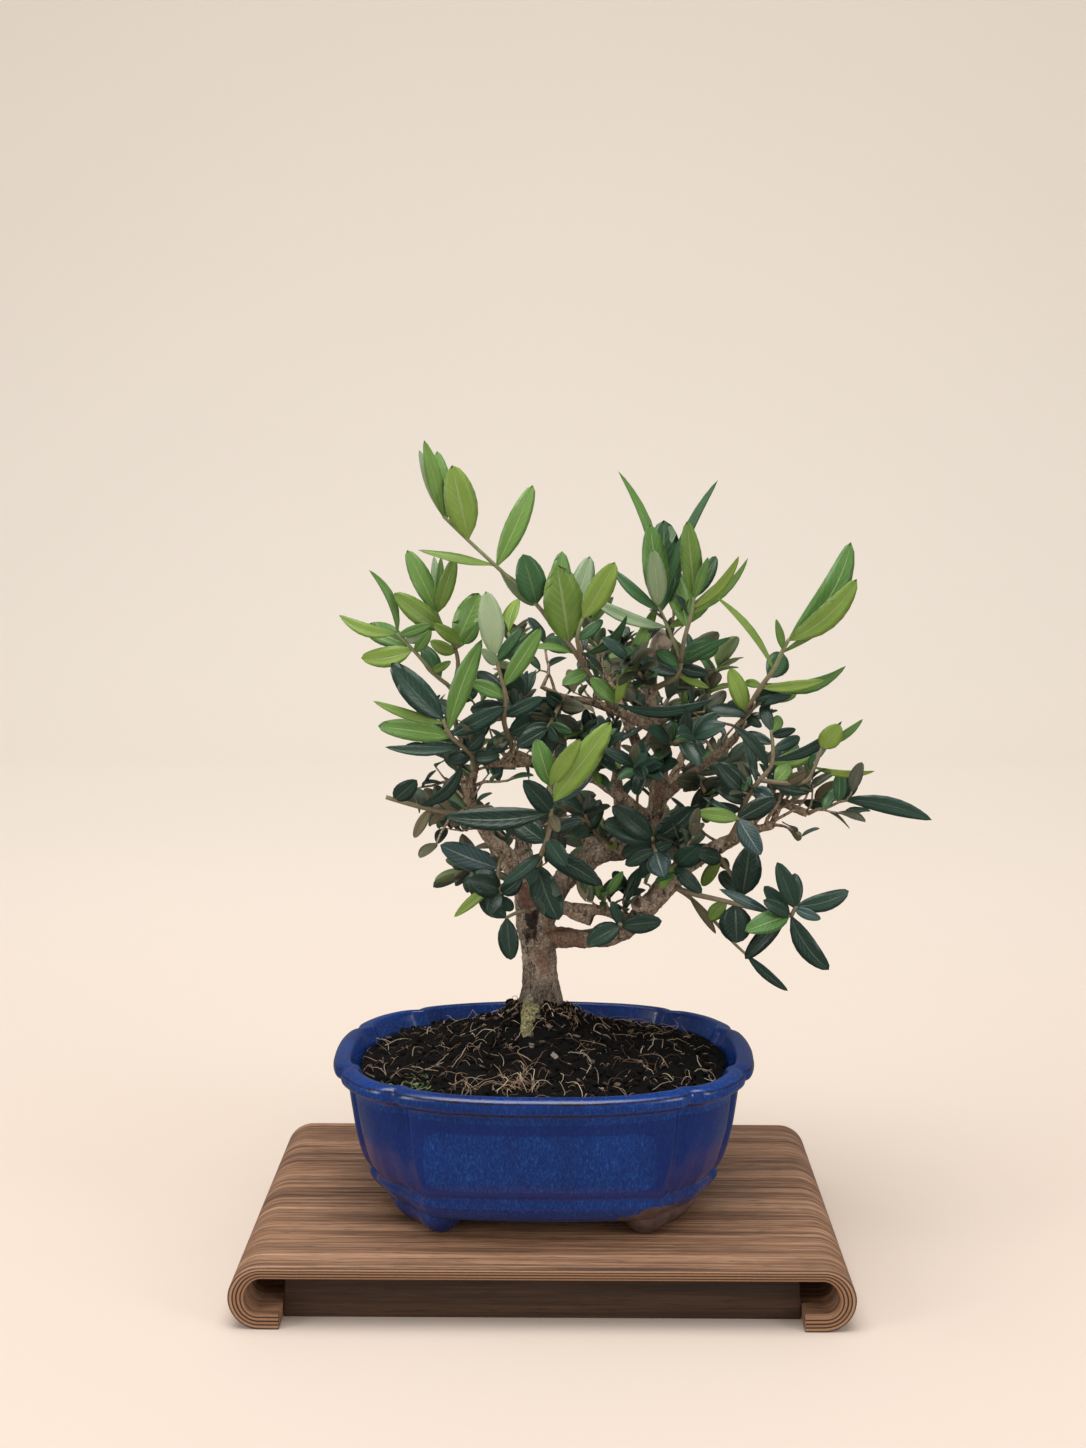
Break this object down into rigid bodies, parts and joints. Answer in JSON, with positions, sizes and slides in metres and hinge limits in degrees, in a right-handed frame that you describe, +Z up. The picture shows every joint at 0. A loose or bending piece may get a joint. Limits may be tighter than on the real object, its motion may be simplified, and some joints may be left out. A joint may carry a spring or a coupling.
{
  "type": "potted olive bonsai",
  "caption": "Small olive tree trained as a bonsai: a forked trunk with leafy shoots in a lobed glazed pot with feet, on a low wooden stand whose ends curl under.",
  "frame": {"origin": "on the floor, under the middle of the whole object's box; the middle of the pot and of the stand is at x -0.0233, y -0.0106", "axes": "+Z up, +X to the viewer's right along the long side of the pot and stand, +Y away from the viewer"},
  "size_m": [0.3366, 0.2072, 0.4073],
  "materials": {
    "walnut": "oiled bent plywood, grain running left to right",
    "dark_walnut": "dark stained wood, satin",
    "cobalt_glaze": "glossy cobalt blue glaze, brown where it breaks over the edges",
    "drain_plastic": "matt black",
    "peat": "damp dark peat with fibres and chips",
    "bark": "grey-brown rough bark",
    "leaf_young": "bright green leaf, satin",
    "leaf_old": "dark blue-green leaf with a satin bloom"
  },
  "bodies": {
    "root": {"drain_mesh_left": "drain_plastic", "drain_mesh_right": "drain_plastic", "pot": "cobalt_glaze", "shoot_arm_end": "leaf_old", "shoot_back_left_low": "leaf_old", "shoot_back_left_out": "leaf_old", "shoot_back_left_top": "leaf_young", "shoot_back_left_up": "leaf_old", "shoot_back_low": "leaf_old", "shoot_back_middle_low": "leaf_old", "shoot_back_middle_out": "leaf_old", "shoot_back_middle_up": "leaf_young", "shoot_back_right_in": "leaf_old", "shoot_back_right_low": "leaf_old", "shoot_back_right_out": "leaf_old", "shoot_back_right_top": "leaf_old", "shoot_back_right_up": "leaf_young", "shoot_back_up_out": "leaf_old", "shoot_back_up_tip": "leaf_young", "shoot_bridge_young": "leaf_young", "shoot_centre_front": "leaf_old", "shoot_elbow_bud": "leaf_old", "shoot_elbow_green": "leaf_young", "shoot_far_right": "leaf_old", "shoot_front_low": "leaf_old", "shoot_front_middle": "leaf_old", "shoot_front_right": "leaf_old", "shoot_inner_bridge": "leaf_old", "shoot_inner_left": "leaf_old", "shoot_inner_middle": "leaf_old", "shoot_inner_right": "leaf_old", "shoot_inner_top": "leaf_old", "shoot_left_broken": "leaf_old", "shoot_left_crown": "leaf_young", "shoot_left_lower": "leaf_old", "shoot_left_middle": "leaf_old", "shoot_left_pale": "leaf_old", "shoot_middle_front": "leaf_old", "shoot_middle_speckled": "leaf_old", "shoot_right_arm_mid": "leaf_old", "shoot_right_droop": "leaf_old", "shoot_right_lower": "leaf_old", "shoot_right_middle": "leaf_old", "shoot_right_top": "leaf_young", "shoot_top_left": "leaf_young", "shoot_top_middle": "leaf_young", "shoot_trunk_twig": "leaf_old", "shoot_under_arm": "leaf_old", "soil": "peat", "stand_apron_back": "dark_walnut", "stand_apron_front": "dark_walnut", "stand_board": "walnut", "trunk_and_limbs": "bark"}
  },
  "joints": []
}
